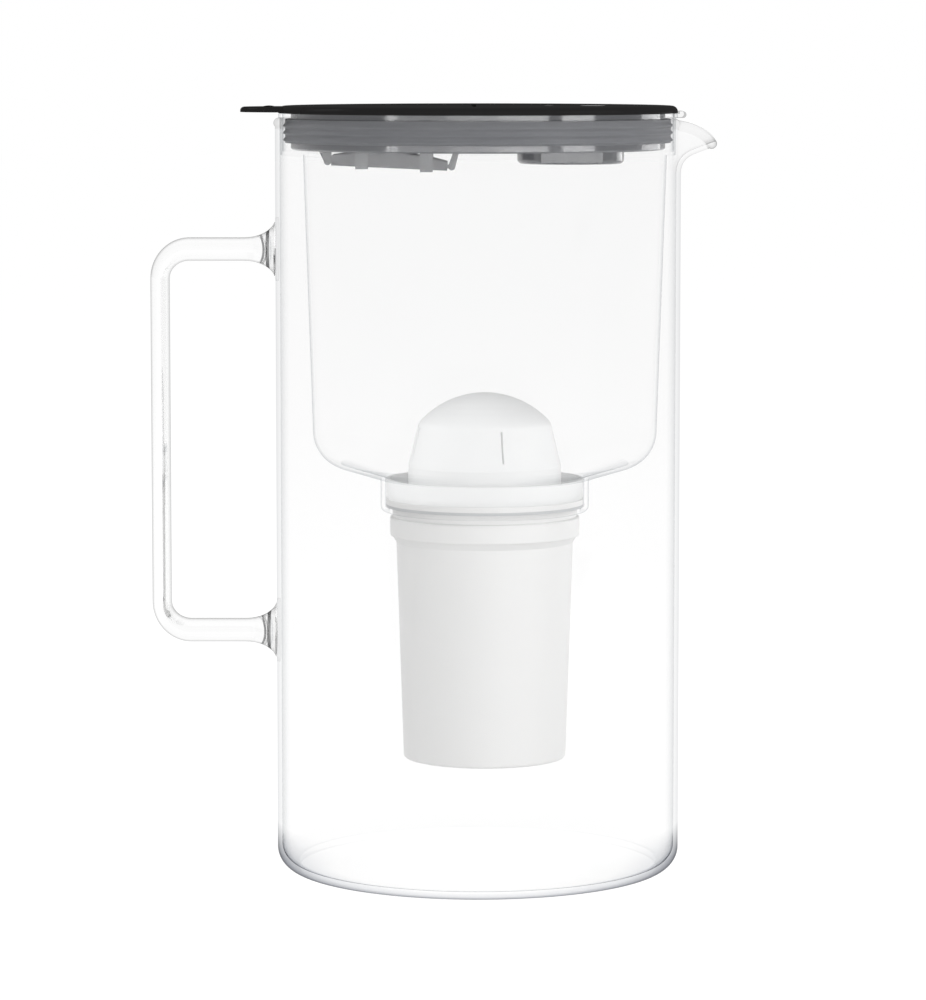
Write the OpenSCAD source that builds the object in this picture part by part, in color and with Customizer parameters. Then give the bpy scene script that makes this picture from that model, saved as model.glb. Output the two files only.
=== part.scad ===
// Water filter pitcher with flip lid.
// Origin: centre of the flat base. +Z up, +X to the spout, -X to the handle.

/* [Glass jug] */
// Outer radius of the glass wall
jug_r = 64.6; // [61:0.1:70]
// Height of the rim above the table
jug_h = 241.2; // [230:0.1:260]
// Thickness of the glass wall
jug_wall = 1.45; // [1.3:0.05:1.8]
// Thickness of the glass floor
jug_floor = 2.4; // [1.8:0.1:4]
// Diameter of the flat ring that the jug stands on
base_d = 115; // [108:0.5:118]
// Radius of the rim bead's section
bead_r = 1.65; // [1.3:0.05:2]
// How far the rim bead stands out from the wall
bead_out = 0.5; // [0.2:0.05:0.9]

/* [Spout] */
// Depth of the beak below the rim
spout_depth = 17.2; // [14:0.1:20]
// Width of the beak where it leaves the wall
spout_w = 29; // [24:0.5:34]
// Angle that the middle of the beak turns outward from upright
spout_turn = 70; // [60:1:78]
// Radius of the bend under the beak
spout_bend_r = 5.9; // [4.5:0.1:7]
// How much shorter the beak's lip is than the wall beside it
spout_dip = 1.6; // [0.8:0.1:3]

/* [Handle] */
// Distance from the wall to the outside of the grip
handle_reach = 40; // [34:0.5:46]
// Height of the upper arm's axis
handle_upper_z = 199.4; // [185:0.1:210]
// Height of the lower arm's axis
handle_lower_z = 76.9; // [60:0.1:90]
// Width of the glass rod across the handle
handle_w = 13; // [10:0.5:16]
// Thickness of the two arms
arm_t = 7.4; // [6:0.1:8]
// Thickness of the upright grip
grip_t = 6.1; // [5:0.1:8]
// Bend radius of the rod's axis
handle_bend_r = 9.5; // [8:0.1:12]
// How far the weld flares beyond the arm, up and down
weld_flare = 6.5; // [4:0.1:8]
// Length of the weld flare along the arm
weld_l = 10; // [7:0.5:13]

/* [Funnel] */
// Thickness of the collar that hangs inside the rim
collar_wall = 0.6; // [0.5:0.05:0.8]
// Thickness of the flange on the rim
flange_t = 1.3; // [1:0.1:2]
// How far the flange reaches over the rim
flange_land = 0.4; // [0.3:0.05:0.8]
// How far the hopper's axis lies toward the spout
hopper_off = 2.2; // [1:0.1:3]
// Gap between the collar and the top of the hopper on the spout side
hopper_margin = 2.15; // [1.5:0.05:4]
// Thickness of the hopper's wall
hopper_wall = 1.2; // [1:0.1:1.6]
// How much narrower the hopper is at its lower corner
hopper_draft = 2.9; // [1:0.1:5]
// Height of the hopper's lower corner
hopper_low_z = 141.3; // [136:0.1:160]
// Radius of the hopper's lower corner
hopper_corner_r = 12; // [8:0.5:16]
// Slope of the hopper's floor
floor_slope = 17; // [8:1:25]
// Thickness of the shoulder under the lid
shoulder_t = 1.2; // [1:0.1:1.6]
// Width of the pull tab
pull_w = 16; // [12:1:24]
// How far the pull tab's lip stands out from the flange
pull_reach = 2.4; // [2:0.1:4]
// Thickness of the pull tab's lip
pull_t = 2.1; // [1.6:0.1:2.6]

/* [Funnel neck] */
// Outer radius of the neck
neck_r = 33.4; // [33:0.1:36]
// Thickness of the neck's wall
neck_wall = 1.5; // [1.2:0.1:1.6]
// Height of the neck's lower edge
neck_z = 115.5; // [108:0.1:118]
// Thickness of the seat inside the neck
seat_t = 1.5; // [1:0.1:2]

/* [Cartridge] */
// Radius of the ring under the neck
ring_r = 30.35; // [29.8:0.05:30.6]
// Height of the ring under the neck
ring_h = 6.5; // [5:0.1:8]
// Radius of the cup at its top
cup_top_r = 28.35; // [27:0.05:29]
// Radius of the cup at its bottom
cup_low_r = 26.1; // [24:0.05:27]
// Height of the cup's bottom above the table
cup_z = 35.7; // [25:0.1:50]
// Thickness of the cup's wall
cup_wall = 1.2; // [1:0.1:1.6]
// Radius of the dome at its foot
dome_r = 24.5; // [23:0.1:26]
// Height of the dome's top above the neck's lower edge
dome_h = 38; // [34:0.1:42]
// Height of the skirt around the dome's foot
cap_skirt_h = 6.4; // [3:0.1:6.8]
// Number of slits in the dome
slit_count = 4; // [2:1:8]
// Width of a slit
slit_w = 0.6; // [0.6:0.1:1.4]

/* [Lid] */
// Thickness of the black disc
cover_t = 2.3; // [2.1:0.1:3]
// Radius of the disc's top edge
cover_edge_r = 1.9; // [1:0.1:2]
// Height of the grey ring
lid_ring_h = 11.6; // [10.5:0.1:14]
// Thickness of the grey ring
lid_ring_wall = 2; // [1.6:0.1:2.4]
// Thickness of the lid's deck
deck_t = 1.6; // [1.2:0.1:2]
// Height of the gasket
gasket_h = 7.5; // [6.5:0.1:8]
// Thickness of the gasket outside the ring
gasket_t = 1.8; // [1.4:0.1:2.2]
// Length of the gasket's fins
fin_l = 0.6; // [0.4:0.05:0.8]
// Number of fins on the gasket
fin_count = 3; // [2:1:4]

/* [Flip lid] */
// Width of the flap
flap_w = 62; // [56:1:70]
// Place of the hinge axis along X
hinge_x = -3; // [-6:0.5:0]
// Radius of the hinge pin
pin_r = 0.9; // [0.8:0.05:1]
// How far the thumb tab stands out from the disc
tab_reach = 12.1; // [9:0.1:15]
// Radius of the thumb tab's round end
tab_r = 14; // [12:0.5:16]
// Thickness of the thumb tab
tab_t = 1.7; // [1.4:0.1:1.8]

/* [Splash plate] */
// Length of the plate across the lid
plate_w = 26; // [20:0.5:32]
// Height of the plate's arch at its crown
plate_rise = 4.9; // [4:0.1:6]
// Radius of the plate's arch
plate_arch_r = 80; // [70:1:120]
// Slope of the plate toward the middle of the lid
plate_slope = 2.6; // [0:0.1:4]
// Distance from the ring's lower edge to the plate's lower edge
plate_drop = 5.6; // [5:0.1:7]
// Width of a hook strap
strap_w = 4; // [3:0.1:5]
// Number of drain slots in the plate
slot_count = 7; // [3:1:9]

/* [Filter indicator] */
// Radius of the indicator's cup
ind_r = 17; // [16.2:0.1:19]
// Distance from the jug's axis to the cup's axis
ind_x = 29.5; // [27:0.5:32]
// How far the cup hangs below the grey ring
ind_drop = 4.5; // [3.5:0.1:8]
// Width of the flat pad on the cup's front
pad_w = 19.4; // [12:0.2:22]
// Radius of the reset button
button_r = 4; // [3:0.1:4.5]
// Travel of the reset button
button_travel = 0.8; // [0.5:0.1:1]
// Radius of the coin cell
cell_r = 10; // [8:0.5:10]
// Thickness of the coin cell
cell_t = 3.2; // [2:0.1:3.2]

/* [Clearances] */
// Gap between curved faces of parts that move apart
clear = 0.3; // [0.25:0.05:0.4]
// Gap between the flap and the disc beside it
seam = 0.4; // [0.3:0.05:0.6]
// Radial clearance of the hinge pin in the flap
hinge_clear = 0.05; // [0.03:0.01:0.08]
// Gap between the flange and the disc above it
lid_gap = 0.2; // [0.1:0.05:0.4]

/* [Hidden] */
$fn = 96;
eps = 0.01;
over = 5; // how far cutting shapes reach past what they cut
fit = 0.02; // radial gap between pieces that are pressed or glued together
snug = 0.1; // gap between pieces of the lid that are clipped together

// Jug
jug_in = jug_r - jug_wall;
foot_r = jug_r - base_d / 2;
foot_in_r = max(foot_r - jug_wall, jug_wall / 2); // the inner corner stays round on a wide base
spout_z = jug_h - spout_depth;
spout_half = asin(spout_w / 2 / jug_r);
beak_inset = 0.05; // how far the beak's faces lie inside those of the wall that it grows from
beak_embed = 1.5; // how far the beak's foot reaches into the wall
beak_end = spout_half + asin(2 * beak_embed / jug_r);
beak_rows = 8;
beak_lip_steps = 9;

// Handle
weld_embed = 1;
grip_x = -(jug_r + handle_reach - grip_t / 2);
arm_l = -grip_x - handle_bend_r - jug_r;

// Funnel
seat_play = 0.45; // radial gap between the cartridge's ring and the neck's seat
collar_out = jug_in - clear;
collar_in = collar_out - collar_wall;
flange_r = jug_in + flange_land;
flange_z = jug_h;
hopper_r = collar_in - hopper_off - hopper_margin;
hopper_low_r = hopper_r - hopper_draft;
seat_z = neck_z + seat_t;
seat_r = ring_r + seat_play;
neck_in = neck_r - neck_wall;

// Lid, from the flange up and from the collar inward
cover_z = flange_z + flange_t + lid_gap;
lid_top = cover_z + cover_t;
cover_r = flange_r;
fin_r = collar_in - clear;
gasket_r = fin_r - fin_l;
lid_r = gasket_r - gasket_t;
lid_in = lid_r - lid_ring_wall;
lid_z = cover_z - lid_ring_h;
groove_depth = 0.8;
gasket_rise = 2.25; // height of the gasket above the ring's lower edge
gasket_z = lid_z + gasket_rise;
hinge_rise = 0.2; // height of the hinge axis above the disc's underside
hinge_z = cover_z + hinge_rise;
barrel_r = lid_top - hinge_z;
deck_gap = 2.5; // room between the deck and the disc
deck_top = cover_z - deck_gap;
deck_z = deck_top - deck_t;
shoulder_gap = 0.5; // room between the grey ring and the funnel's shoulder
shoulder_z = lid_z - shoulder_gap;
collar_z = shoulder_z - shoulder_t;

// Hinge of the flip lid
ear_w = 3.2;
notch_half = flap_w / 2 + seam;
ear_in = flap_w / 2 - ear_w - seam;
barrel_half = ear_in - clear;
hinge_back = barrel_r + clear; // reach of the swinging flap in front of the axis

// Fill opening in the deck, over the splash plate
fill_back = 6; // distance from the hinge axis to the opening
fill_x1 = hinge_x - fill_back;
fill_corner_r = 5;
fill_rim_t = 1.2;

// Splash plate, its end arms, pins and hook straps
arm_margin = 3.7; // room between the outer arm and the hopper
arm_x0 = -(hopper_r - hopper_wall - hopper_off - arm_margin);
arm_x1 = hinge_x - 2.8;
arm_w = 6;
outer_arm_t = 4.1;
inner_arm_t = 1.8;
arm_tip_t = 2.3; // thickness of both arms at their round tips
inner_lean = 1.4; // how far the inner arm's tip leans toward the plate
end_pin_r = 0.6;
end_pin_l = 4;
plate_end_gap = 0.25; // gap between an arm's tip and the plate's end
plate_x0 = arm_x0 + outer_arm_t + plate_end_gap;
plate_x1 = arm_x1 - inner_lean - arm_tip_t - plate_end_gap;
plate_l = plate_x1 - plate_x0;
plate_x = (plate_x0 + plate_x1) / 2;
plate_z = lid_z - plate_drop;
plate_t = 1.2;
plate_gap = 0.1; // gap between the plate and the straps
pin_rise = 1; // height of the end pins above the plate's lower edge
strap_t = 1.2;
strap_x = 10.2; // distance of each strap from the middle between the straps
strap_shift = 1.55; // how far that middle lies from the plate's own middle
strap_lip = 1.2; // how far the straps' lips reach under the plate
lip_t = 0.6;
fill_x0 = arm_x0 + outer_arm_t + 0.5;
fill_margin = 1.4; // deck that is left between the opening and the straps
fill_half = plate_w / 2 - fill_margin;
crown_shift = 1.2; // how far the crown of the arch lies from the plate's middle, away from the hinge

// Cartridge
flange_c_r = neck_in - clear;
seal_t = 0.9;
head_z = seat_z + seal_t;
head_t = 1.7;
head_r = ring_r - 0.75; // part of the cup that passes through the seat
ring_gap = 1.5; // gap between the neck's lower edge and the ring
ring_z = neck_z - ring_gap - ring_h;
cap_z = head_z + head_t;
cup_top_z = ring_z - 1.9;
cup_floor = 1.5;
cup_floor_z = cup_z + cup_floor;
mesh_t = 1;
dome_top_z = neck_z + dome_h;
dome_wall = 1.2;
bend_rise = 14.5; // height of the dome's bend above the neck's lower edge
slit_rise = 17; // height of the slits above the neck's lower edge

// Indicator
ind_z = lid_z - ind_drop;
ind_wall = 1.2;
ind_floor = ind_z + ind_wall;
ind_lip = 1.5;
ind_lip_t = 1;
pad_out = 0.5; // how far the pad stands out from the cup
pad_rise = 0.7; // height of the pad above the cup's bottom
contact_t = 0.3;
contact_w = 4;
contact_r = 5;
contact_leg_x = 12;
cell_z = ind_floor + contact_t;
board_t = 1.2;
board_r = ind_r - ind_wall - 0.6;
board_z = ind_z + 9.6;
board_top = board_z + board_t;
switch_h = 1.5;
light_h = 1;
light_r = 1.5;
spread_x = 7; // distance of the button and the light from the cup's axis
button_x = ind_x + spread_x;
light_x = ind_x - spread_x;
button_flange_t = 0.8;
spring_t = 0.8;
button_z = board_top + switch_h + button_travel + snug;
button_flange_z = cover_z - button_flange_t;

function arc(cx, cy, r, from, to, steps) =
    [for (i = [0:steps]) let (a = from + (to - from) * i / steps) [cx + r * cos(a), cy + r * sin(a)]];

// Triangles between closed rings of points that follow each other in one list
function tube_sides(rings, sides) =
    [for (i = [0:rings - 2], k = [0:sides - 1], half = [0, 1])
        let (a = i * sides + k, b = i * sides + (k + 1) % sides)
        half == 0 ? [a, b, a + sides] : [b, b + sides, a + sides]];

// The same with flat round ends
function tube_faces(rings, sides) = concat(
    tube_sides(rings, sides),
    [[for (k = [sides - 1:-1:0]) k]],
    [[for (k = [0:sides - 1]) (rings - 1) * sides + k]]
);

// Half section of a round part with a rounded lower edge
module foot_section(r, h, edge) {
    translate([0, edge]) square([r, h - edge]);
    square([r - edge, h]);
    translate([r - edge, edge]) circle(edge);
}

// Half section of a disc with a rounded upper edge
module disc_section(r, h, edge) {
    square([r, h - edge]);
    square([r - edge, h]);
    intersection() {
        translate([r - edge, h - edge]) circle(edge);
        square([r, h]);
    }
}

module ring_section(r_in, r_out, h) {
    translate([r_in, 0]) square([r_out - r_in, h]);
}

// ---------------------------------------------------------------- Glass jug

module jug_section() {
    difference() {
        foot_section(jug_r, jug_h - bead_r, foot_r);
        translate([0, jug_floor]) foot_section(jug_in, jug_h, foot_in_r);
    }
    difference() {
        translate([jug_r + bead_out - bead_r, jug_h - bead_r]) circle(bead_r);
        square([jug_in, jug_h + over]);
    }
}

// Share of the beak's full turn, across its width from -1 to 1
function beak_share(u) = abs(u) < 1 ? pow(cos(90 * u), 2) : 0;

// Point on the glass at angle share u, at height s up the wall and depth o outside its inner face
function beak_point(u, s, o) =
    let (
        turn = max(0, min(s / spout_bend_r * 180 / PI, spout_turn * beak_share(u))),
        rest = s - spout_bend_r * turn * PI / 180,
        out = spout_bend_r * (1 - cos(turn)) + rest * sin(turn) + (o - jug_wall) * cos(turn),
        up = spout_bend_r * sin(turn) + rest * cos(turn) - (o - jug_wall) * sin(turn),
        a = spout_half * u
    )
    [(jug_r + out) * cos(a), (jug_r + out) * sin(a), spout_z + up];

// Section of the beak's glass as [height, depth], up its inner side, over the bead and down its outer side
function beak_section(l) =
    let (
        r = bead_r - beak_inset,
        centre = jug_wall + bead_out - bead_r,
        lip = [for (p = arc(
            centre, l - bead_r, r,
            acos((beak_inset - centre) / r), -acos((jug_wall - beak_inset - centre) / r), beak_lip_steps
        )) [p[1], p[0]]],
        low = -beak_embed,
        inner_h = lip[0][0] - low,
        outer_h = lip[beak_lip_steps][0] - low
    )
    concat(
        [for (i = [0:beak_rows - 1]) [low + inner_h * i / beak_rows, beak_inset]],
        lip,
        [for (i = [beak_rows - 1:-1:0]) [low + outer_h * i / beak_rows, jug_wall - beak_inset]]
    );

// Flat end of the beak, as a ladder of triangles between the two sides of its section
function ladder_cap(first, n, flip) =
    [for (i = [0:n / 2 - 2], half = [0, 1])
        let (
            a = first + i, b = first + i + 1,
            c = first + n - 2 - i, d = first + n - 1 - i,
            t = half == 0 ? [a, b, c] : [a, c, d]
        )
        flip ? [t[2], t[1], t[0]] : t];

module beak() {
    steps = 24;
    end = beak_end / spout_half;
    shares = [end, for (j = [0:steps]) 1 - 2 * j / steps, -end];
    sections = [for (u = shares) beak_section(spout_depth - spout_dip * (1 - pow(min(1, abs(u)), 4)))];
    n = len(sections[0]);
    points = [for (i = [0:len(shares) - 1], p = sections[i]) beak_point(shares[i], p[0], p[1])];
    polyhedron(points, concat(
        tube_sides(len(shares), n),
        ladder_cap(0, n, true),
        ladder_cap((len(shares) - 1) * n, n, false)
    ));
}

// Wedge of the wall that the beak stands in for
module beak_cut() {
    reach = 2 * jug_r;
    half = (spout_half + beak_end) / 2;
    translate([0, 0, spout_z])
        linear_extrude(spout_depth + over)
            polygon([[0, 0], reach * [cos(half), -sin(half)], reach * [cos(half), sin(half)]]);
}

module glass_jug() {
    color([0.86, 0.93, 0.95, 0.35]) {
        difference() {
            rotate_extrude() jug_section();
            beak_cut();
        }
        beak();
    }
}

// ---------------------------------------------------------------- Glass handle

// Extra half thickness of the arm at distance d from the wall
function weld_extra(d) =
    let (t = max(0, min(1, (weld_l - d) / weld_l)))
    weld_flare * (1 - sqrt(1 - t * t));

// Stations of the rod's axis as [x, z, heading, half thickness, flare]
arm_stations = [for (d = [-weld_embed, 0, 0.2, 0.6, 1.2, 2, 3.2, 4.8, 7, 10, arm_l])
    [-(jug_r + d), handle_upper_z, 180, arm_t / 2, weld_extra(max(d, 0))]];
bend_steps = 9;
upper_bend = [for (i = [1:bend_steps])
    let (a = 90 * i / bend_steps)
    [grip_x + handle_bend_r * (1 - sin(a)), handle_upper_z - handle_bend_r * (1 - cos(a)),
        180 + a, (arm_t + (grip_t - arm_t) * (1 - cos(2 * a)) / 2) / 2, 0]];
upper_half = concat(arm_stations, upper_bend);
handle_mid_z = (handle_upper_z + handle_lower_z) / 2;
lower_half = [for (i = [len(upper_half) - 1:-1:0])
    let (s = upper_half[i])
    [s[0], 2 * handle_mid_z - s[1], 540 - s[2], s[3], s[4]]];
handle_stations = concat(upper_half, lower_half);

module glass_handle() {
    sides = 20;
    points = [for (s = handle_stations, k = [0:sides - 1])
        let (
            a = 360 * k / sides,
            off = (s[3] + s[4]) * sin(a),
            y = (handle_w / 2 + s[4] * 0.6) * cos(a)
        )
        [s[0] - off * sin(s[2]), y, s[1] + off * cos(s[2])]];
    color([0.86, 0.93, 0.95, 0.35])
        polyhedron(points, tube_faces(len(handle_stations), sides));
}

// ---------------------------------------------------------------- Funnel

// Half section of the hopper, its floor and its neck, around the hopper's axis
module hopper_section() {
    turn = 90 - floor_slope;
    cx = hopper_low_r - hopper_corner_r;
    outer_arc = arc(cx, hopper_low_z, hopper_corner_r, 0, -turn, 8);
    inner_arc = arc(cx, hopper_low_z, hopper_corner_r - hopper_wall, -turn, 0, 8);
    outer_end = outer_arc[len(outer_arc) - 1];
    inner_end = inner_arc[0];
    edge = 1.7;
    polygon(concat(
        [[hopper_r, shoulder_z]],
        outer_arc,
        [[neck_r, outer_end[1] - (outer_end[0] - neck_r) * tan(floor_slope)]],
        arc(neck_r - edge, neck_z + edge, edge, 0, -90, 4),
        [[seat_r, neck_z], [seat_r, seat_z], [neck_in, seat_z]],
        [[neck_in, inner_end[1] - (inner_end[0] - neck_in) * tan(floor_slope)]],
        inner_arc,
        [[hopper_r - hopper_wall, shoulder_z]]
    ));
}

module pull_tab() {
    lip_x = cover_r + clear;
    end_x = flange_r + pull_reach;
    end_r = pull_t / 2;
    translate([collar_out - 1, -pull_w / 2, flange_z])
        cube([lip_x - collar_out + 1, pull_w, flange_t]);
    translate([lip_x, -pull_w / 2, flange_z])
        cube([end_x - end_r - lip_x, pull_w, pull_t]);
    translate([end_x - end_r, pull_w / 2, flange_z + end_r])
        rotate([90, 0, 0]) cylinder(h = pull_w, r = end_r);
}

module funnel() {
    color([0.9, 0.94, 0.95, 0.35]) {
        translate([0, 0, collar_z])
            rotate_extrude() ring_section(collar_in, collar_out, flange_z + flange_t - collar_z);
        translate([0, 0, flange_z])
            rotate_extrude() ring_section(collar_in, flange_r, flange_t);
        difference() {
            translate([0, 0, collar_z]) cylinder(h = shoulder_t, r = collar_in + eps);
            translate([hopper_off, 0, collar_z - over])
                cylinder(h = shoulder_t + 2 * over, r = hopper_r - hopper_wall / 2);
        }
        translate([hopper_off, 0, 0]) rotate_extrude() hopper_section();
        pull_tab();
    }
}

// ---------------------------------------------------------------- Cartridge

module cup_section() {
    foot = 1;
    edge = 0.8;
    inner_head = head_r - cup_wall;
    inner_top = cup_top_r - cup_wall;
    inner_low = cup_low_r - cup_wall;
    ring_top = ring_z + ring_h;
    polygon(concat(
        [[0, cup_z]],
        arc(cup_low_r - foot, cup_z + foot, foot, -90, 0, 3),
        [[cup_top_r, cup_top_z], [ring_r - edge, ring_z]],
        arc(ring_r - edge, ring_z + edge, edge, -60, 0, 3),
        arc(ring_r - edge, ring_top - edge, edge, 0, 90, 4),
        [[head_r, ring_top], [head_r, head_z], [flange_c_r, head_z], [flange_c_r, cap_z]],
        [[inner_head, cap_z], [inner_head, ring_z + foot], [inner_top, cup_top_z]],
        [[inner_low, cup_floor_z], [0, cup_floor_z]]
    ));
}

module cartridge_cup() {
    outlet_count = 8;
    outlet_w = 1.5;
    outlet_l = 15;
    outlet_start = 5;
    color("white")
        translate([hopper_off, 0, 0])
            difference() {
                rotate_extrude() cup_section();
                for (i = [0:outlet_count - 1])
                    rotate(360 * i / outlet_count)
                        translate([outlet_start, -outlet_w / 2, cup_z - over])
                            cube([outlet_l, outlet_w, over + cup_floor + eps]);
            }
}

// Half section of the dome, shrunk inward by t
module dome_section(t) {
    foot_r = dome_r - t;
    waist_r = foot_r - 3.2; // where the flank turns into the shoulder
    waist_z = neck_z + dome_h * 0.73;
    shoulder_w = 3.6;
    crown_r = 28;
    crown_z = dome_top_z - t - crown_r;
    edge_r = waist_r - shoulder_w;
    crown_a = asin(edge_r / crown_r);
    edge_z = crown_z + crown_r * cos(crown_a);
    flank_z = neck_z + bend_rise;
    // The shoulder is a curve that leaves the flank and meets the crown along their own directions
    lean = (foot_r - waist_r) / (waist_z - flank_z);
    fall = tan(crown_a);
    turn_z = (edge_z - (waist_r - edge_r + lean * waist_z) * fall) / (1 - lean * fall);
    turn_r = waist_r - lean * (turn_z - waist_z);
    polygon(concat(
        [[0, cap_z - eps], [foot_r, cap_z - eps], [foot_r, flank_z], [waist_r, waist_z]],
        [for (i = [1:6]) let (k = i / 7)
            pow(1 - k, 2) * [waist_r, waist_z] + 2 * k * (1 - k) * [turn_r, turn_z] + k * k * [edge_r, edge_z]],
        [for (i = [0:6]) let (a = crown_a * (1 - i / 6)) [crown_r * sin(a), crown_z + crown_r * cos(a)]]
    ));
}

module cap_section() {
    rim_t = 1.2;
    plug_h = 3; // part of the cap inside the cup
    foot = flange_c_r - clear;
    difference() {
        union() {
            translate([0, cap_z]) square([foot, rim_t]);
            translate([0, cap_z])
                polygon([
                    [foot - dome_wall, 0], [foot, 0],
                    [flange_c_r, cap_skirt_h], [flange_c_r - dome_wall, cap_skirt_h]
                ]);
            translate([0, cap_z - plug_h]) square([head_r - cup_wall - snug, plug_h + eps]);
            dome_section(0);
        }
        translate([0, cap_z - over]) square([dome_r - dome_wall, over + eps]);
        dome_section(dome_wall);
    }
}

module cartridge_cap() {
    slit_turn = -76; // angle of the slit that faces the front
    slit_l = 10;
    color([0.97, 0.97, 0.96])
        translate([hopper_off, 0, 0])
            difference() {
                rotate_extrude() cap_section();
                for (i = [0:slit_count - 1])
                    rotate(slit_turn + 360 * i / slit_count)
                        translate([dome_r / 2, -slit_w / 2, neck_z + slit_rise])
                            cube([dome_r, slit_w, slit_l]);
            }
}

module cartridge_seal() {
    color([0.75, 0.76, 0.77])
        translate([hopper_off, 0, seat_z])
            rotate_extrude() ring_section(head_r + fit, flange_c_r, seal_t);
}

// Frustum that fills the cup between two heights, clear of its wall
module cup_fill(from, to) {
    slope = (cup_top_r - cup_low_r) / (cup_top_z - cup_floor_z);
    inner = cup_low_r - cup_wall - snug;
    translate([hopper_off, 0, from])
        cylinder(
            h = to - from,
            r1 = inner + (from - cup_floor_z) * slope,
            r2 = inner + (to - cup_floor_z) * slope
        );
}

module outlet_mesh() {
    color([0.9, 0.9, 0.9]) cup_fill(cup_floor_z, cup_floor_z + mesh_t);
}

module media_bed() {
    color([0.2, 0.2, 0.2]) cup_fill(cup_floor_z + mesh_t, cup_top_z - mesh_t);
}

module inlet_mesh() {
    color([0.9, 0.9, 0.9]) cup_fill(cup_top_z - mesh_t, cup_top_z);
}

// ---------------------------------------------------------------- Lid ring and deck

module fill_shape(grow) {
    r = fill_corner_r + grow;
    half = fill_half + grow;
    translate([fill_x0 - grow, r - half]) square([fill_x1 - fill_x0 + 2 * grow, 2 * (half - r)]);
    translate([fill_x0 - grow + r, -half]) square([fill_x1 - fill_x0 + 2 * (grow - r), 2 * half]);
    for (x = [fill_x0 - grow + r, fill_x1 + grow - r], y = [r - half, half - r])
        translate([x, y]) circle(r);
}

// Arm that carries one end of the splash plate. side is -1 or 1, x its outer face at the top and
// tip_out its outer face at the tip
module end_arm(side, x, t, tip_out) {
    tip_r = arm_tip_t / 2;
    tip_x = tip_out - side * tip_r;
    tip_z = plate_z - side * plate_l / 2 * sin(plate_slope) + pin_rise;
    top_z = deck_z + eps;
    translate([0, arm_w / 2, 0])
        rotate([90, 0, 0])
            linear_extrude(arm_w) {
                polygon([
                    [x, top_z], [x - side * t, top_z], [x - side * t, lid_z],
                    [tip_x - side * tip_r, tip_z], [tip_x + side * tip_r, tip_z], [x, lid_z]
                ]);
                translate([tip_x, tip_z]) circle(tip_r);
            }
    translate([tip_x, 0, tip_z])
        rotate([0, -side * 90, 0]) cylinder(h = end_pin_l, r = end_pin_r);
}

// Strap with a lip under the splash plate; x is its distance from the plate's middle
module hook_strap(x, side) {
    low_z = plate_z - x * sin(plate_slope) - lip_t - plate_gap;
    y = side * (plate_w / 2 + strap_t / 2 + plate_gap);
    lip_y = side > 0 ? y - strap_t / 2 - strap_lip : y - strap_t / 2;
    translate([plate_x + x - strap_w / 2, y - strap_t / 2, low_z])
        cube([strap_w, strap_t, deck_z - low_z + eps]);
    translate([plate_x + x - strap_w / 2, lip_y, low_z])
        cube([strap_w, strap_t + strap_lip, lip_t]);
}

module lid_ring_section() {
    edge = 0.5;
    difference() {
        ring_section(lid_in, lid_r, lid_ring_h);
        translate([lid_r - groove_depth, gasket_z - lid_z]) square([over, gasket_h]);
        translate([lid_r, 0]) rotate(45) square(edge * sqrt(2), center = true);
    }
}

module lid_ring() {
    color([0.5, 0.51, 0.53]) {
        translate([0, 0, lid_z]) rotate_extrude() lid_ring_section();
        difference() {
            union() {
                translate([0, 0, deck_z]) cylinder(h = deck_t, r = lid_in + eps);
                translate([0, 0, deck_z]) linear_extrude(cover_z - lid_gap - deck_z) fill_shape(fill_rim_t);
            }
            translate([0, 0, deck_z - over]) linear_extrude(deck_t + 3 * over) fill_shape(0);
            translate([ind_x, 0, deck_z - over]) cylinder(h = deck_t + 2 * over, r = ind_r + snug);
        }
        end_arm(-1, arm_x0, outer_arm_t, arm_x0 + outer_arm_t - arm_tip_t);
        end_arm(1, arm_x1, inner_arm_t, arm_x1 - inner_lean);
        for (x = [-strap_x, strap_x], side = [-1, 1]) hook_strap(strap_shift + x, side);
    }
}

module lid_gasket() {
    pitch = gasket_h / (fin_count + 0.3);
    fin = [[-eps, 0], [fin_l, pitch * 0.12], [fin_l, pitch * 0.3], [-eps, pitch * 0.62]];
    color([0.38, 0.39, 0.41])
        translate([0, 0, gasket_z])
            rotate_extrude() {
                ring_section(lid_r - groove_depth + fit, gasket_r, gasket_h);
                for (i = [0:fin_count - 1])
                    translate([gasket_r, pitch * (i + 0.15)]) polygon(fin);
            }
}

// ---------------------------------------------------------------- Black cover and flap

// Space that the flap and its hinge take out of the disc
module flap_notch(half) {
    translate([-2 * cover_r, -half, cover_z - over])
        cube([2 * cover_r + hinge_x + hinge_back, 2 * half, cover_t + 2 * over]);
}

module hinge_ear(side) {
    y0 = side > 0 ? ear_in : -notch_half - eps;
    w = notch_half - ear_in + eps;
    difference() {
        union() {
            translate([hinge_x, y0, hinge_z - barrel_r]) cube([hinge_back + eps, w, 2 * barrel_r]);
            translate([hinge_x, y0, hinge_z]) rotate([-90, 0, 0]) cylinder(h = w, r = barrel_r);
        }
        translate([hinge_x, y0 - over, hinge_z])
            rotate([-90, 0, 0]) cylinder(h = w + 2 * over, r = pin_r + fit);
    }
}

module lid_cover() {
    spigot_t = 1.2;
    spigot_h = deck_gap - snug;
    color([0.07, 0.065, 0.07]) {
        difference() {
            union() {
                translate([0, 0, cover_z]) rotate_extrude() disc_section(cover_r, cover_t, cover_edge_r);
                translate([0, 0, cover_z - spigot_h])
                    rotate_extrude() ring_section(lid_in - snug - spigot_t, lid_in - snug, spigot_h + eps);
            }
            flap_notch(notch_half);
            translate([button_x, 0, cover_z - over]) cylinder(h = cover_t + 2 * over, r = button_r + clear);
            translate([light_x, 0, cover_z - over]) cylinder(h = cover_t + 2 * over, r = light_r + fit);
        }
        hinge_ear(-1);
        hinge_ear(1);
    }
}

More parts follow.
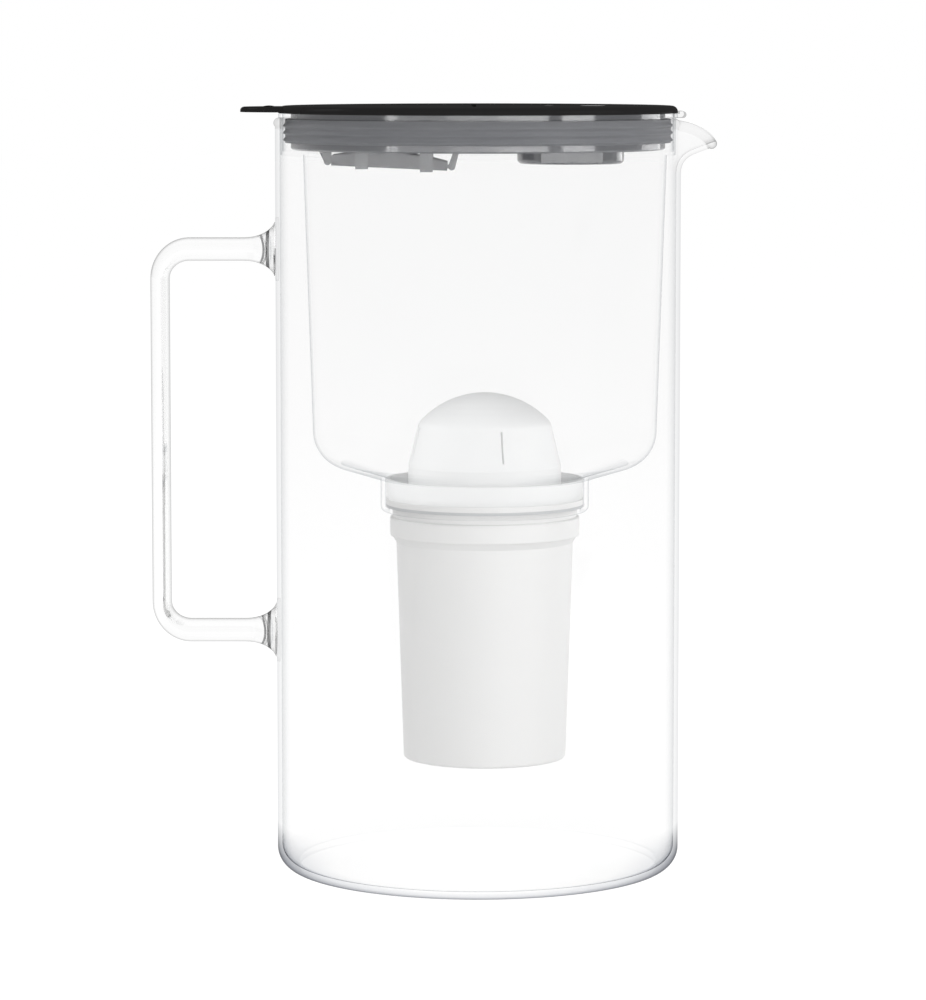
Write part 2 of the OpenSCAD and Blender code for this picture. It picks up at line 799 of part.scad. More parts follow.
module hinge_pin() {
    half = notch_half - 0.6;
    color([0.7, 0.71, 0.72])
        translate([hinge_x, -half, hinge_z]) rotate([-90, 0, 0]) cylinder(h = 2 * half, r = pin_r);
}

// Round tab with a low ridge for the thumb
module thumb_tab() {
    edge = 1.2;
    tab_z = cover_z + 0.3;
    ridge_x = -(cover_r + 3.2);
    ridge_h = 0.3;
    ridge_r = 7;
    ridge_l = 12;
    translate([tab_r - cover_r - tab_reach, 0, tab_z])
        rotate_extrude() disc_section(tab_r, tab_t, edge);
    translate([ridge_x, ridge_l / 2, tab_z + tab_t])
        rotate([90, 0, 0]) linear_extrude(ridge_l)
            intersection() {
                translate([0, ridge_h - ridge_r]) circle(ridge_r);
                translate([-ridge_r, -ridge_h]) square([2 * ridge_r, 2 * ridge_h]);
            }
}

module flip_lid() {
    color([0.07, 0.065, 0.07])
        difference() {
            union() {
                intersection() {
                    translate([0, 0, cover_z]) rotate_extrude() disc_section(cover_r, cover_t, cover_edge_r);
                    union() {
                        translate([-2 * cover_r, -flap_w / 2, cover_z - over])
                            cube([2 * cover_r + hinge_x - hinge_back, flap_w, cover_t + 2 * over]);
                        translate([-cover_r / 2, -barrel_half, cover_z - over])
                            cube([cover_r / 2 + hinge_x, 2 * barrel_half, cover_t + 2 * over]);
                    }
                }
                thumb_tab();
                translate([hinge_x, -barrel_half, hinge_z])
                    rotate([-90, 0, 0]) cylinder(h = 2 * barrel_half, r = barrel_r);
            }
            translate([hinge_x, -barrel_half - over, hinge_z])
                rotate([-90, 0, 0]) cylinder(h = 2 * (barrel_half + over), r = pin_r + hinge_clear);
        }
}

// ---------------------------------------------------------------- Splash plate

// Prism under the plate's arch, w wide across the lid and t thinner than its outside
module arch_prism(w, t) {
    translate([0, w / 2, 0])
        rotate([90, 0, 0])
            linear_extrude(w)
                intersection() {
                    translate([-crown_shift, plate_rise - plate_arch_r]) circle(plate_arch_r - t, $fn = 240);
                    translate([t - plate_l / 2, -over]) square([plate_l - 2 * t, plate_rise + over]);
                }
}

module splash_plate() {
    slot_w = 1.6;
    slot_margin = 4;
    skirt_h = 0.7;
    skirt_in = 0.4; // how far the lower rim steps in under the straps' lips
    slot_l = plate_w - 2 * slot_margin;
    pitch = (plate_l - 2 * slot_margin - strap_lip) / slot_count;
    color([0.6, 0.61, 0.63])
        translate([plate_x, 0, plate_z])
            rotate([0, plate_slope, 0])
                difference() {
                    union() {
                        intersection() {
                            arch_prism(plate_w, 0);
                            translate([-plate_l, -plate_w, skirt_h])
                                cube([2 * plate_l, 2 * plate_w, plate_rise]);
                        }
                        intersection() {
                            arch_prism(plate_w - 2 * skirt_in, 0);
                            translate([-plate_l, -plate_w, 0])
                                cube([2 * plate_l, 2 * plate_w, plate_rise]);
                        }
                    }
                    arch_prism(plate_w - 2 * (skirt_in + plate_t), plate_t);
                    for (i = [0:slot_count - 1])
                        translate([(i - (slot_count - 1) / 2) * pitch - slot_w / 2, -slot_l / 2, -over])
                            cube([slot_w, slot_l, plate_rise + 2 * over]);
                    for (side = [-1, 1])
                        translate([side * (plate_l / 2 + over), 0, pin_rise])
                            rotate([0, -side * 90, 0]) cylinder(h = end_pin_l + over, r = end_pin_r + snug);
                }
}

// ---------------------------------------------------------------- Filter indicator

module indicator_cup() {
    foot = 1.4;
    post_l = 2;
    pad_l = 6;
    cup_h = deck_top - ind_z;
    color([0.42, 0.43, 0.45])
        translate([ind_x, 0, ind_z]) {
            rotate_extrude() {
                difference() {
                    foot_section(ind_r, cup_h + ind_lip_t, foot);
                    translate([0, ind_wall]) square([ind_r - ind_wall, cup_h + over]);
                }
                translate([0, cup_h]) ring_section(ind_r - eps, ind_r + ind_lip, ind_lip_t);
            }
            for (a = [45:90:315])
                rotate(a) translate([ind_r - ind_wall - post_l, -post_l / 2, ind_wall - eps])
                    cube([post_l + eps, post_l, board_z - ind_floor + eps]);
            difference() {
                translate([-pad_w / 2, -ind_r - pad_out, pad_rise])
                    cube([pad_w, pad_l, ind_drop + eps]);
                translate([0, 0, -over]) cylinder(h = ind_drop + 2 * over, r = ind_r - ind_wall / 2);
            }
        }
}

// Round contact at height z with a leg up to the board; side is -1 or 1
module contact(z, side) {
    leg_x = side > 0 ? contact_leg_x : -contact_leg_x - contact_t;
    color([0.75, 0.72, 0.6])
        translate([ind_x, 0, z]) {
            cylinder(h = contact_t, r = contact_r);
            translate([side > 0 ? 0 : -contact_leg_x, -contact_w / 2, 0])
                cube([contact_leg_x, contact_w, contact_t]);
            translate([leg_x, -contact_w / 2, 0]) cube([contact_t, contact_w, board_z - z]);
        }
}

module contact_minus() {
    contact(ind_floor, -1);
}

module contact_plus() {
    contact(cell_z + cell_t, 1);
}

module coin_cell() {
    step_h = 0.6;
    step_in = 1.2;
    color([0.8, 0.8, 0.82])
        translate([ind_x, 0, cell_z]) {
            cylinder(h = cell_t - step_h, r = cell_r);
            translate([0, 0, cell_t - step_h - eps]) cylinder(h = step_h + eps, r = cell_r - step_in);
        }
}

module indicator_board() {
    switch_r = 2.6;
    light_w = 2.4;
    color([0.1, 0.4, 0.25]) {
        translate([ind_x, 0, board_z]) cylinder(h = board_t, r = board_r);
        translate([button_x, 0, board_top - eps]) cylinder(h = switch_h + eps, r = switch_r);
        translate([light_x - light_w / 2, -light_w / 2, board_top - eps])
            cube([light_w, light_w, light_h + eps]);
    }
}

module light_pipe() {
    pipe_z = board_top + light_h + snug;
    flange_h = 0.8;
    color([0.9, 0.95, 0.92, 0.6])
        translate([light_x, 0, 0]) {
            translate([0, 0, pipe_z]) cylinder(h = lid_top - pipe_z, r = light_r);
            translate([0, 0, cover_z - flange_h]) cylinder(h = flange_h, r = light_r + 1);
        }
}

module reset_button() {
    stem_r = 2;
    color([0.3, 0.3, 0.32])
        translate([button_x, 0, 0]) {
            translate([0, 0, button_flange_z]) cylinder(h = lid_top - button_flange_z, r = button_r);
            translate([0, 0, button_flange_z]) cylinder(h = button_flange_t, r = button_r + 1);
            translate([0, 0, button_z]) cylinder(h = button_flange_z - button_z + eps, r = stem_r);
        }
}

// Outer shape of the coil that returns the button
module button_spring() {
    color([0.75, 0.75, 0.76])
        translate([button_x, 0, board_top])
            rotate_extrude()
                ring_section(button_r - spring_t / 2, button_r + spring_t / 2, button_flange_z - board_top);
}

glass_jug();
glass_handle();
funnel();
cartridge_cup();
cartridge_cap();
cartridge_seal();
inlet_mesh();
media_bed();
outlet_mesh();
lid_ring();
lid_gasket();
lid_cover();
hinge_pin();
splash_plate();
indicator_cup();
indicator_board();
coin_cell();
contact_plus();
contact_minus();
light_pipe();
button_spring();
reset_button();
flip_lid();
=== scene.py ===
"""Looks of the water filter pitcher: materials, smooth glass, lights, floor and camera."""

import math

import bmesh
import bpy
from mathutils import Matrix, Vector


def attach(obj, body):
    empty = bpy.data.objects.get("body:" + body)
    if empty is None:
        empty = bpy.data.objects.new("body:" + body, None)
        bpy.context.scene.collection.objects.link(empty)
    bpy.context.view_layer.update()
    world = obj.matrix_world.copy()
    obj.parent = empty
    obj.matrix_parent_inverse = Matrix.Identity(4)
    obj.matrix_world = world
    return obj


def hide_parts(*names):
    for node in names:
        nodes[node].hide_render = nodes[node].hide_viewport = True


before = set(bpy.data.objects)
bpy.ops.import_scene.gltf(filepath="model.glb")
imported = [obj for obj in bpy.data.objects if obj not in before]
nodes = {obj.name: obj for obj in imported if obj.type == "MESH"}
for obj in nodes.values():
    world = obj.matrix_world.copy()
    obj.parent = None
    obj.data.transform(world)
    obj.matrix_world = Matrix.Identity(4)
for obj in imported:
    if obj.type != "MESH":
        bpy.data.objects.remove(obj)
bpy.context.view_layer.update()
scene = bpy.context.scene
scene.view_settings.view_transform = "Standard"
scene.cycles.transparent_max_bounces = 32  # clear wall behind clear wall: up to 20 faces in a row

MM = 0.001
WALL_IOR, ROD_IOR = 1.49, 1.47
FILM_COLOUR = (0.985, 0.985, 0.985, 1)


# ---------------------------------------------------------------- materials


def new_material(name):
    """A node material with its tree and its Principled shader."""
    material = bpy.data.materials.new(name)
    material.use_nodes = True
    tree = material.node_tree
    return material, tree, tree.nodes["Principled BSDF"]


def add(tree, kind, **values):
    """A node with its properties or input sockets set by name."""
    node = tree.nodes.new(kind)
    for key, value in values.items():
        if hasattr(node, key):
            setattr(node, key, value)
        else:
            node.inputs[key.replace("_", " ").title()].default_value = value
    return node


def fine_bump(tree, shader, scale, strength, distance):
    """Noise relief on the surface, in metres of the object's own frame."""
    place = add(tree, "ShaderNodeTexCoord")
    noise = add(tree, "ShaderNodeTexNoise", scale=scale, detail=3.0)
    bump = add(tree, "ShaderNodeBump", strength=strength, distance=distance)
    tree.links.new(place.outputs["Object"], noise.inputs["Vector"])
    tree.links.new(noise.outputs["Fac"], bump.inputs["Height"])
    tree.links.new(bump.outputs["Normal"], shader.inputs["Normal"])


def vary(tree, shader, socket, low, high, scale):
    """Lets a number on the shader drift between two values; the noise is mostly from 0.3 to 0.7."""
    place = add(tree, "ShaderNodeTexCoord")
    noise = add(tree, "ShaderNodeTexNoise", scale=scale, detail=2.0)
    spread = add(tree, "ShaderNodeMapRange")
    spread.inputs["From Min"].default_value = 0.3
    spread.inputs["From Max"].default_value = 0.7
    spread.inputs["To Min"].default_value = low
    spread.inputs["To Max"].default_value = high
    tree.links.new(place.outputs["Object"], noise.inputs["Vector"])
    tree.links.new(noise.outputs["Fac"], spread.inputs["Value"])
    tree.links.new(spread.outputs["Result"], shader.inputs[socket])


def as_colour(value):
    """A colour from itself or from the one number of a grey."""
    return value if isinstance(value, tuple) else (value, value, value)


def facing_ramp(tree, stops):
    """A colour from the first stop, where the surface faces the eye, to the last, where it turns away."""
    facing = add(tree, "ShaderNodeLayerWeight", blend=0.5)
    ramp = add(tree, "ShaderNodeValToRGB")
    elements = ramp.color_ramp.elements
    while len(elements) < len(stops):
        elements.new(0.5)
    for element, (place, colour) in zip(elements, stops):
        element.position = place
        element.color = (*as_colour(colour), 1)
    tree.links.new(facing.outputs["Facing"], ramp.inputs["Fac"])
    return ramp.outputs["Color"]


def any_ray(tree, *kinds):
    """1 for a ray of one of these kinds, as the Light Path node names them, and 0 for others."""
    path = add(tree, "ShaderNodeLightPath")
    share = path.outputs[kinds[0]]
    for kind in kinds[1:]:
        either = add(tree, "ShaderNodeMath", operation="MAXIMUM")
        tree.links.new(share, either.inputs[0])
        tree.links.new(path.outputs[kind], either.inputs[1])
        share = either.outputs["Value"]
    return share


def mixed(tree, share, first, second):
    """The first shader where the share is 0 and the second where it is 1."""
    mix = add(tree, "ShaderNodeMixShader")
    for socket, source in zip(mix.inputs, (share, first, second)):
        tree.links.new(source, socket)
    return mix.outputs["Shader"]


def show(tree, shader_output):
    """Makes a shader the surface of the material."""
    tree.links.new(shader_output, tree.nodes["Material Output"].inputs["Surface"])


def let_light_through(tree, shader_output):
    """The shader to the eye, and clear film to the lamps and to bounced light."""
    film = add(tree, "ShaderNodeBsdfTransparent")
    film.inputs["Color"].default_value = FILM_COLOUR
    light = any_ray(tree, "Is Shadow Ray", "Is Diffuse Ray")
    show(tree, mixed(tree, light, shader_output, film.outputs["BSDF"]))


def painted_edge_line(tree, plain, stops, inside, z_full, z_none):
    """A painted dark line where thick glass rounds over near the floor, on its outer or its inner face:
    painted shade in place of the line that refraction draws there.

    It is full below the height z_full and gone above z_none, in metres.
    """
    surface = add(tree, "ShaderNodeNewGeometry")
    place = add(tree, "ShaderNodeTexCoord")
    split = add(tree, "ShaderNodeSeparateXYZ")
    low = add(tree, "ShaderNodeMapRange")
    low.inputs["From Min"].default_value = z_none
    low.inputs["From Max"].default_value = z_full
    # The inner face is seen from behind: 1 times Backfacing, or 1 minus Backfacing for the outer face
    side = add(tree, "ShaderNodeMath", operation="MULTIPLY" if inside else "SUBTRACT")
    side.inputs[0].default_value = 1.0
    share = add(tree, "ShaderNodeMath", operation="MULTIPLY")
    mix = add(tree, "ShaderNodeMixRGB")
    tree.links.new(surface.outputs["Backfacing"], side.inputs[1])
    tree.links.new(place.outputs["Object"], split.inputs["Vector"])
    tree.links.new(split.outputs["Z"], low.inputs["Value"])
    tree.links.new(side.outputs["Value"], share.inputs[0])
    tree.links.new(low.outputs["Result"], share.inputs[1])
    tree.links.new(share.outputs["Value"], mix.inputs["Fac"])
    tree.links.new(plain, mix.inputs["Color1"])
    tree.links.new(facing_ramp(tree, stops), mix.inputs["Color2"])
    return mix.outputs["Color"]


def thin_clear(name, stops, gloss, edge=None):
    """Thin clear wall: what is behind shows through under a faint gloss, darker where it turns away; that
    darkening is partly the wall's own tint and partly painted shade in place of the dark edges that
    refraction gives.
    """
    material, tree, shader = new_material(name)
    tree.nodes.remove(shader)
    seen_through = facing_ramp(tree, stops)
    # The edge option adds a painted dark line near the floor: painted shade, not the wall's colour
    if edge:
        seen_through = painted_edge_line(tree, seen_through, **edge)
    through = add(tree, "ShaderNodeBsdfTransparent")
    tree.links.new(seen_through, through.inputs["Color"])
    shine = add(tree, "ShaderNodeBsdfGlossy", roughness=0.05)
    fresnel = add(tree, "ShaderNodeFresnel")
    fresnel.inputs["IOR"].default_value = WALL_IOR
    cap = add(tree, "ShaderNodeMath", operation="MINIMUM")
    cap.inputs[1].default_value = gloss
    tree.links.new(fresnel.outputs["Fac"], cap.inputs[0])
    wall = mixed(tree, cap.outputs["Value"], through.outputs["BSDF"], shine.outputs["BSDF"])
    let_light_through(tree, wall)
    return material


def glass(name, stops):
    """Clear glass that bends what is seen through it and darkens where it turns away; that darkening is
    painted shade in place of the dark surroundings its edges would show.
    """
    material, tree, shader = new_material(name)
    tree.nodes.remove(shader)
    clear = add(tree, "ShaderNodeBsdfGlass", roughness=0.0)
    clear.inputs["IOR"].default_value = ROD_IOR
    tree.links.new(facing_ramp(tree, stops), clear.inputs["Color"])
    let_light_through(tree, clear.outputs["BSDF"])
    return material


def translucent_plastic(name, colour, roughness, seen_share, lit_share, specular):
    """Plastic that lets a little of what is behind show, and more of the lamps' light through."""
    material = moulded(name, colour, roughness, 0.04, specular=specular)
    tree = material.node_tree
    clear = add(tree, "ShaderNodeBsdfTransparent")
    clear.inputs["Color"].default_value = (1, 1, 1, 1)
    share = add(tree, "ShaderNodeMapRange")
    share.inputs["To Min"].default_value = seen_share
    share.inputs["To Max"].default_value = lit_share
    tree.links.new(any_ray(tree, "Is Shadow Ray", "Is Diffuse Ray"), share.inputs["Value"])
    plastic = tree.nodes["Principled BSDF"].outputs["BSDF"]
    show(tree, mixed(tree, share.outputs["Result"], clear.outputs["BSDF"], plastic))
    return material


def moulded(name, colour, roughness, grain, coat=0.0, specular=0.5):
    """Opaque moulded plastic with a fine moulding grain and a slightly uneven gloss."""
    material, tree, shader = new_material(name)
    shader.inputs["Base Color"].default_value = (*colour, 1)
    shader.inputs["Coat Weight"].default_value = coat
    shader.inputs["Coat Roughness"].default_value = 0.1
    shader.inputs["Specular IOR Level"].default_value = specular
    vary(tree, shader, "Roughness", roughness * 0.85, roughness * 1.15, 60.0)
    fine_bump(tree, shader, scale=900.0, strength=grain, distance=0.00004)
    return material


def metal(name, colour, roughness):
    """Bare metal with fine drawing marks."""
    material, tree, shader = new_material(name)
    shader.inputs["Base Color"].default_value = (*colour, 1)
    shader.inputs["Metallic"].default_value = 1.0
    vary(tree, shader, "Roughness", roughness * 0.8, roughness * 1.3, 300.0)
    return material


def granules(name):
    """Dark filter granules."""
    material, tree, shader = new_material(name)
    place = add(tree, "ShaderNodeTexCoord")
    cells = add(tree, "ShaderNodeTexVoronoi", scale=900.0)
    ramp = add(tree, "ShaderNodeValToRGB")
    ramp.color_ramp.elements[0].color = (0.01, 0.01, 0.01, 1)
    ramp.color_ramp.elements[1].color = (0.12, 0.11, 0.1, 1)
    tree.links.new(place.outputs["Object"], cells.inputs["Vector"])
    tree.links.new(cells.outputs["Color"], ramp.inputs["Fac"])
    tree.links.new(ramp.outputs["Color"], shader.inputs["Base Color"])
    shader.inputs["Roughness"].default_value = 0.9
    return material


# The colour of what is seen through a clear wall, from where it faces the eye (0) to where it turns
# away (1). A single number is a grey.
WALL_STOPS = [(0.0, 0.992), (0.7, 0.992), (1.0, (0.855, 0.86, 0.865))]
# Painted shade: dark lines on the foot's outer and inner rounding, in place of the lines that refraction
# gives thick glass
FOOT_PAINTED_LINE = {
    "stops": [
        (0.0, 1.0),
        (0.3, 0.95),
        (0.55, (0.76, 0.77, 0.79)),
        (0.8, (0.36, 0.37, 0.4)),
        (1.0, (0.03, 0.035, 0.045)),
    ],
    "inside": False,
    "z_full": 0.006,
    "z_none": 0.016,
}
INNER_FOOT_PAINTED_LINE = {
    "stops": [
        (0.0, 1.0),
        (0.7, 0.985),
        (0.83, (0.76, 0.77, 0.79)),
        (0.9, (0.27, 0.28, 0.3)),
        (1.0, (0.08, 0.085, 0.1)),
    ],
    "inside": True,
    "z_full": 0.006,
    "z_none": 0.013,
}
HOPPER_STOPS = [(0.0, 1.0), (0.8, 0.997), (1.0, (0.76, 0.77, 0.78))]

looks = {
    "wall_glass": thin_clear("wall_glass", WALL_STOPS, gloss=0.015),
    "foot_glass": thin_clear("foot_glass", WALL_STOPS, gloss=0.015, edge=FOOT_PAINTED_LINE),
    "inner_foot_glass": thin_clear("inner_foot_glass", WALL_STOPS, gloss=0.015, edge=INNER_FOOT_PAINTED_LINE),
    "floor_glass": thin_clear("floor_glass", [(0.0, 1.0), (1.0, 0.995)], gloss=0.005),
    # The rim, beak and lip darken more where they turn away: painted shade for the dark lines that the solid
    # bead shows as a lens
    "rim_glass": thin_clear("rim_glass", [(0.0, 0.99), (0.6, 0.97), (1.0, 0.8)], gloss=0.015),
    "beak_glass": thin_clear("beak_glass", [(0.0, 1.0), (0.6, 0.99), (0.9, 0.93), (1.0, 0.74)], gloss=0.015),
    "lip_glass": thin_clear("lip_glass", [(0.0, 1.0), (0.4, 0.97), (0.75, 0.8), (1.0, 0.42)], gloss=0.02),
    "rod_glass": glass("rod_glass", [(0.0, 1.0), (0.6, 0.97), (0.9, 0.6), (1.0, 0.2)]),
    "weld_glass": thin_clear("weld_glass", [(0.0, 1.0), (0.5, 0.98), (1.0, 0.92)], gloss=0.01),
    # Painted shade: a dark band on the handle's flare neck, dark whichever way it faces
    "painted_dark_neck_glass": glass("painted_dark_neck_glass", [(0.0, 0.36), (0.7, 0.2), (1.0, 0.05)]),
    "hopper_plastic": thin_clear("hopper_plastic", HOPPER_STOPS, gloss=0.008),
    "inner_plastic": thin_clear("inner_plastic", [(0.0, 1.0), (0.8, 1.0), (1.0, 0.97)], gloss=0.008),
    "tab_plastic": thin_clear("tab_plastic", [(0.0, 0.97), (0.4, 0.93), (0.8, 0.8), (1.0, 0.5)], gloss=0.02),
    "plastic": glass("clear_plastic", [(0.0, 0.98), (1.0, 0.7)]),
    "white": moulded("white_plastic", (0.84, 0.84, 0.835), 0.38, 0.08),
    "dome": translucent_plastic("white_cap_plastic", (0.88, 0.885, 0.885), 0.5, 0.8, 0.35, specular=0.12),
    "grey": moulded("glossy_grey_plastic", (0.125, 0.13, 0.142), 0.1, 0.01, specular=1.0),
    "cup_grey": moulded("glossy_dark_grey_plastic", (0.125, 0.13, 0.142), 0.1, 0.01, specular=1.0),
    "plate_grey": moulded("splash_plate_grey", (0.1, 0.104, 0.114), 0.2, 0.01, specular=1.0),
    "silicone": moulded("grey_silicone", (0.157, 0.162, 0.174), 0.55, 0.01),
    "seal": moulded("pale_silicone", (0.56, 0.57, 0.58), 0.55, 0.12),
    "black": moulded("black_plastic", (0.018, 0.0175, 0.0175), 0.4, 0.05, coat=0.03, specular=0.0),
    "steel": metal("steel", (0.62, 0.62, 0.63), 0.25),
    "nickel": metal("nickel", (0.66, 0.62, 0.55), 0.3),
    "board": moulded("green_board", (0.02, 0.16, 0.08), 0.45, 0.1),
    "mesh": moulded("filter_mesh", (0.7, 0.7, 0.69), 0.8, 0.6),
    "granules": granules("filter_granules"),
}

finish_of = {
    "glass_jug": "wall_glass",
    "glass_handle": "rod_glass",
    "funnel": "hopper_plastic",
    "cartridge_cup": "white",
    "cartridge_cap": "dome",
    "cartridge_seal": "seal",
    "inlet_mesh": "mesh",
    "media_bed": "granules",
    "outlet_mesh": "mesh",
    "lid_ring": "grey",
    "lid_gasket": "silicone",
    "lid_cover": "black",
    "flip_lid": "black",
    "hinge_pin": "steel",
    "splash_plate": "plate_grey",
    "indicator_cup": "cup_grey",
    "indicator_board": "board",
    "coin_cell": "steel",
    "contact_plus": "nickel",
    "contact_minus": "nickel",
    "light_pipe": "plastic",
    "button_spring": "steel",
    "reset_button": "cup_grey",
}

for name, look in finish_of.items():
    piece = nodes[name]
    piece.data.materials.clear()
    piece.data.materials.append(looks[look])


# ---------------------------------------------------------------- smooth glass, clear plastic and gasket

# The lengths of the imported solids, in millimetres and degrees
jug_r, jug_h, jug_wall, jug_floor = 64.6, 241.2, 1.45, 2.4
foot_r = jug_r - 57.5
foot_in_r = foot_r - jug_wall
bead_r, bead_out = 1.65, 0.5
spout_depth, spout_w, spout_turn, spout_bend_r, spout_dip = 17.2, 29.0, 70.0, 5.9, 1.6
spout_z = jug_h - spout_depth
spout_half = math.degrees(math.asin(spout_w / 2 / jug_r))
jug_in = jug_r - jug_wall

handle_reach, handle_upper_z, handle_lower_z = 40.0, 199.4, 76.9
handle_w, arm_t, grip_t, handle_bend_r = 13.0, 7.4, 6.1, 9.5
weld_flare, weld_side_share, weld_l, weld_embed = 6.5, 0.6, 10.0, 1.0
grip_x = -(jug_r + handle_reach - grip_t / 2)
arm_l = -grip_x - handle_bend_r - jug_r

collar_out, collar_wall = jug_in - 0.3, 0.6
collar_in = collar_out - collar_wall
flange_r, flange_t = jug_in + 0.4, 1.3
hopper_off, hopper_wall, hopper_draft = 2.2, 1.2, 2.9
hopper_r = collar_in - hopper_off - 2.15
hopper_low_r = hopper_r - hopper_draft
hopper_low_z, hopper_corner_r, floor_slope = 141.3, 12.0, 17.0
shoulder_z, shoulder_t = 230.6, 1.2
neck_r, neck_wall, neck_z, seat_t, seat_r = 33.4, 1.5, 115.5, 1.5, 30.8
pull_w, pull_reach, pull_t = 16.0, 2.4, 2.1
gasket_r, gasket_in = 61.35, 58.77
gasket_z, gasket_h, fin_l, fin_count = 233.35, 7.5, 0.6, 3


def arc(cx, cy, r, start, end, steps):
    """Points of an arc from one angle to another, in degrees."""
    turns = [math.radians(start + (end - start) * i / steps) for i in range(steps + 1)]
    return [(cx + r * math.cos(a), cy + r * math.sin(a)) for a in turns]


def smooth_piece(name, points, faces, crease):
    """A mesh object from points in millimetres and faces as (corner numbers, material slot).

    It is shaded smooth, apart from edges where the faces turn by more than the crease, in degrees.
    """
    mesh = bpy.data.meshes.new(name)
    mesh.from_pydata([tuple(v * MM for v in p) for p in points], [], [f[0] for f in faces])
    for polygon, face in zip(mesh.polygons, faces):
        polygon.material_index = face[1]
        polygon.use_smooth = True
    work = bmesh.new()
    work.from_mesh(mesh)
    bmesh.ops.recalc_face_normals(work, faces=work.faces)
    for edge in work.edges:
        edge.smooth = edge.calc_face_angle(0.0) < math.radians(crease)
    work.to_mesh(mesh)
    work.free()
    piece = bpy.data.objects.new(name, mesh)
    scene.collection.objects.link(piece)
    return piece


def ring_faces(rings, columns, slots, closed=False):
    """Quads between rings of points that follow each other; slots gives the material slot of each band."""
    faces = []
    for i in range(rings if closed else rings - 1):
        for k in range(columns):
            a, b = i * columns + k, i * columns + (k + 1) % columns
            c, d = ((i + 1) % rings) * columns + k, ((i + 1) % rings) * columns + (k + 1) % columns
            faces.append(((a, b, d, c), slots[i]))
    return faces


# The jug's material slots, in the order in which its looks are added
WALL, FOOT, INNER_FOOT, FLOOR, RIM, BEAK, LIP = range(7)
FLOOR_RADII = (8, 20, 32, 44, 52)
WALL_HEIGHTS = (30, 60, 90, 120, 150, 180, 205)
# Rows of the bent part, as shares of the height from the beak's foot to the bead
BEND_SHARES = (0.0, 0.06, 0.12, 0.18, 0.25, 0.33, 0.42, 0.52, 0.63, 0.75, 0.88)
BEAK_COLUMNS, REST_COLUMNS = 64, 240


def beak_share(u):
    """How much of the beak's bend there is from its middle, u = 0, to its sides, u = 1."""
    return math.cos(math.pi / 2 * u) ** 2 if abs(u) < 1 else 0.0


def beak_point(angle, s, depth):
    """Glass at height s above the beak's foot and a depth outside the inner face, bent out by the beak."""
    u = angle / spout_half
    turn = max(0.0, min(s / spout_bend_r, math.radians(spout_turn) * beak_share(u)))
    rest = s - spout_bend_r * turn
    out = spout_bend_r * (1 - math.cos(turn)) + rest * math.sin(turn) + (depth - jug_wall) * math.cos(turn)
    up = spout_bend_r * math.sin(turn) + rest * math.cos(turn) - (depth - jug_wall) * math.sin(turn)
    a = math.radians(angle)
    return ((jug_r + out) * math.cos(a), (jug_r + out) * math.sin(a), spout_z + up)


def jug_skin():
    """One closed skin: from the underside's middle up the outside, over the bead and down the inside.

    A row is a function that gives a column's point from its angle. The beak bends only the upper rows.
    """
    beak_angles = [spout_half * (-1 + 2 * i / BEAK_COLUMNS) for i in range(BEAK_COLUMNS + 1)]
    rest = 360 - 2 * spout_half
    rest_angles = [spout_half + rest * i / REST_COLUMNS for i in range(1, REST_COLUMNS)]
    angles = beak_angles + rest_angles
    inner_round = 0.5
    centre = jug_wall + bead_out - bead_r
    rows = []
    slots = []

    def plain(r, z, slot):
        rows.append(lambda a, r=r, z=z: (r * math.cos(math.radians(a)), r * math.sin(math.radians(a)), z))
        slots.append(slot)

    def bent(height, depth, slot):
        """A row that the beak turns outward, at a height above its foot that depends on the lip's height."""

        def place(angle):
            a = (angle + 180) % 360 - 180
            u = min(1.0, abs(a) / spout_half)
            return beak_point(a, height(spout_depth - spout_dip * (1 - u ** 4)), depth)

        rows.append(place)
        slots.append(slot)

    def upper(share, depth, slot):
        bent(lambda lip: (lip - bead_r) * share, depth, slot)

    def lip_row(depth, above, slot):
        bent(lambda lip: lip - bead_r + above, depth, slot)

    for r in FLOOR_RADII:
        plain(r, 0.0, FLOOR)
    for r, z in arc(jug_r - foot_r, foot_r, foot_r, -90, 0, 18):
        plain(r, z, FOOT)
    for z in WALL_HEIGHTS:
        plain(jug_r, z, WALL)
    bend_start = len(rows)
    for share in BEND_SHARES:
        upper(share, jug_wall, WALL)
    slots[-1] = RIM
    # Bead, from where it leaves the outer face to its rounded inner edge
    low = -math.degrees(math.acos((jug_wall - centre) / bead_r))
    top = math.degrees(math.acos((inner_round - centre) / bead_r))
    for depth, above in arc(centre, 0, bead_r, low, top, 22):
        lip_row(depth, above, RIM)
    crown = bead_r * math.sin(math.radians(top))
    for depth, above in arc(inner_round, crown - inner_round, inner_round, 90, 180, 5)[1:]:
        lip_row(depth, above, RIM)
    for share in reversed(BEND_SHARES):
        upper(share, 0.0, WALL)
    bend_end = len(rows) - 1
    for z in reversed(WALL_HEIGHTS):
        plain(jug_in, z, WALL)
    slots[-1] = INNER_FOOT
    for r, z in arc(jug_in - foot_in_r, jug_floor + foot_in_r, foot_in_r, 0, -90, 18):
        plain(r, z, INNER_FOOT)
    slots[-1] = FLOOR
    for r in reversed(FLOOR_RADII):
        plain(r, jug_floor, FLOOR)
    points = [row(a) for row in rows for a in angles]
    columns = len(angles)
    faces = ring_faces(len(rows), columns, slots)
    # The beak's own columns, from its foot outside to its foot inside
    for row in range(bend_start, bend_end):
        for k in range(len(beak_angles) - 1):
            corners, _ = faces[row * columns + k]
            faces[row * columns + k] = (corners, LIP if slots[row] == RIM else BEAK)
    first, last = len(points), len(points) + 1
    points += [(0, 0, 0), (0, 0, jug_floor)]
    end = (len(rows) - 1) * columns
    for k in range(columns):
        faces.append(((first, (k + 1) % columns, k), FLOOR))
        faces.append(((last, end + k, end + (k + 1) % columns), FLOOR))
    return points, faces


# The handle's material slots
ROD, WELD, NECK = range(3)
